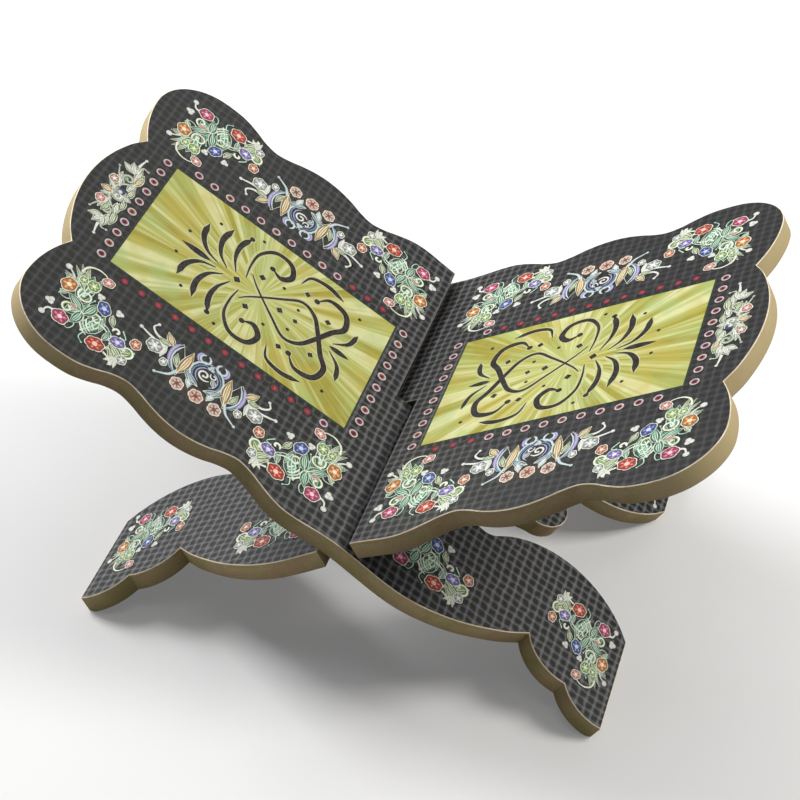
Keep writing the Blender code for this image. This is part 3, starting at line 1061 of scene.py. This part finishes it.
# Each ink as the colour at a shape's rim and in its middle.
INKS = {
    "shade": ((24, 32, 27), (24, 32, 27)),
    "cream": ((206, 212, 190), (236, 238, 222)),
    "white": ((188, 190, 184), (230, 230, 224)),
    "silver": ((150, 166, 172), (208, 218, 220)),
    "frost": ((106, 114, 100), (206, 210, 194)),
    "mint_pale": ((136, 184, 160), (204, 228, 210)),
    "leaf_mint": ((16, 60, 44), (108, 174, 138)),
    "leaf_teal": ((12, 60, 50), (70, 146, 120)),
    "leaf_lime": ((44, 70, 38), (152, 178, 112)),
    "lime": ((62, 92, 44), (178, 204, 128)),
    "leaf_frost": ((66, 84, 54), (176, 186, 142)),
    "leaf_gold": ((108, 80, 38), (212, 178, 110)),
    "leaf_slate": ((30, 54, 76), (116, 152, 176)),
    "ground": ((26, 26, 25), (30, 30, 29)),
    "ground_green": ((18, 34, 28), (22, 66, 46)),
    "pink": ((104, 22, 54), (198, 84, 120)),
    "blush": ((150, 84, 80), (214, 158, 148)),
    "rim_pale": ((158, 138, 140), (212, 197, 196)),
    "red": ((112, 26, 20), (204, 82, 52)),
    "ruby": ((92, 20, 34), (166, 44, 66)),
    "coral": ((132, 62, 44), (212, 142, 106)),
    "orange": ((126, 68, 22), (214, 150, 76)),
    "tan": ((98, 54, 44), (214, 186, 170)),
    "peach": ((110, 58, 46), (216, 174, 156)),
    "blue": ((22, 34, 86), (84, 108, 176)),
    "lilac": ((62, 52, 116), (148, 136, 194)),
    "lilac_pale": ((96, 92, 140), (186, 180, 216)),
    "halo": ((186, 186, 128), (200, 202, 154)),
    "umber": ((20, 13, 9), (28, 19, 14)),
    "brown": ((52, 42, 38), (78, 56, 48)),
    "pearl": ((82, 88, 88), (206, 210, 206)),
    "border": ((26, 42, 30), (26, 42, 30)),
}


def make_looks():
    """Every material of the stand, by name."""
    looks = {name: ink_look(name, rim, middle) for name, (rim, middle) in INKS.items()}
    looks["weave"] = weave_look()
    looks["paper_edge"] = paper_edge_look()
    looks["mdf"] = mdf_look()
    looks["backing"] = backing_look()
    looks["sunburst"] = sunburst_look()
    return looks


# ---------------------------------------------------------------------------- the studio

CAMERA_AIM = Vector((-0.0030, -0.0004, 0.0777))
CAMERA_AZIMUTH = math.radians(14.43)
CAMERA_ELEVATION = math.radians(39.0)
CAMERA_ROLL = math.radians(3.45)
CAMERA_DISTANCE = 0.929
CAMERA_LENS = 91.78
CAMERA_SENSOR = 36.0

# The studio: each soft box as its name, place, size, power and colour.
AIR = 0.06
FLOOR_SPREAD = 9.0
FLOOR_GLOW = 0.15
SOFT_BOXES = (
    ("back_box", (0.0, 1.25, 0.9), (1.4, 0.7), 4.0, (1.0, 1.0, 1.0)),
    ("top_box", (0.0, 0.1, 1.4), (1.0, 1.0), 5.0, (1.0, 1.0, 1.0)),
    ("right_box", (1.1, 0.42, 1.05), (0.6, 0.7), 19.2, (1.0, 0.98, 0.94)),
    ("left_box", (-1.15, 0.42, 0.85), (0.6, 0.7), 26.0, (1.0, 1.0, 1.0)),
)


def make_camera():
    """The camera, which looks down at the stand from the front and a little from the right."""
    data = bpy.data.cameras.new("camera")
    data.lens = CAMERA_LENS
    data.sensor_width = CAMERA_SENSOR
    data.clip_start = 0.01
    camera = bpy.data.objects.new("camera", data)
    bpy.context.scene.collection.objects.link(camera)
    level = math.cos(CAMERA_ELEVATION)
    sine = math.sin(CAMERA_AZIMUTH)
    cosine = math.cos(CAMERA_AZIMUTH)
    back = Vector((sine * level, -cosine * level, math.sin(CAMERA_ELEVATION)))
    right = Vector((cosine, sine, 0.0))
    turn = Matrix((right, back.cross(right), back)).transposed()
    roll = Matrix.Rotation(CAMERA_ROLL, 3, "Z")
    place = Matrix.Translation(CAMERA_AIM + back * CAMERA_DISTANCE)
    camera.matrix_world = place @ (turn @ roll).to_4x4()
    bpy.context.scene.camera = camera


def make_light(name, place, size, power, colour):
    """A soft box that faces the stand."""
    data = bpy.data.lights.new(name, "AREA")
    data.shape = "RECTANGLE"
    data.size, data.size_y = size
    data.energy = power
    data.color = colour
    light = bpy.data.objects.new(name, data)
    bpy.context.scene.collection.objects.link(light)
    light.location = place
    light.rotation_euler = (CAMERA_AIM - Vector(place)).to_track_quat("-Z", "Y").to_euler()


def make_studio():
    """A pale floor that glows a little, strong soft boxes at the sides, weak ones behind and above."""
    scene = bpy.context.scene
    scene.view_settings.view_transform = "Standard"
    world = bpy.data.worlds.new("air")
    world.use_nodes = True
    ground = world.node_tree.nodes["Background"]
    ground.inputs["Color"].default_value = (0.97, 0.98, 1.0, 1.0)
    ground.inputs["Strength"].default_value = AIR
    scene.world = world
    data = bpy.data.meshes.new("floor")
    mesh = bmesh.new()
    bmesh.ops.create_grid(mesh, x_segments=8, y_segments=8, size=FLOOR_SPREAD)
    mesh.to_mesh(data)
    mesh.free()
    look = Look("floor_paint", 0.9, 0.1)
    where = look.node("ShaderNodeTexCoord").outputs["Object"]
    look.finish(look.mix(look.noise(where, 3.0), (0.62, 0.62, 0.62, 1), (0.64, 0.64, 0.64, 1)))
    look.shader.inputs["Emission Color"].default_value = (1.0, 1.0, 1.0, 1.0)
    look.shader.inputs["Emission Strength"].default_value = FLOOR_GLOW
    data.materials.append(look.material)
    floor = bpy.data.objects.new("floor", data)
    scene.collection.objects.link(floor)
    floor.location.z = min(0.0, cad_box[0].z)
    for soft_box in SOFT_BOXES:
        make_light(*soft_box)


make_camera()
LOOKS = make_looks()
for board_side in SIDES:
    half_thickness = make_board(board_side, LOOKS)
    make_print(board_side, half_thickness, LOOKS)
make_studio()

bpy.context.view_layer.update()
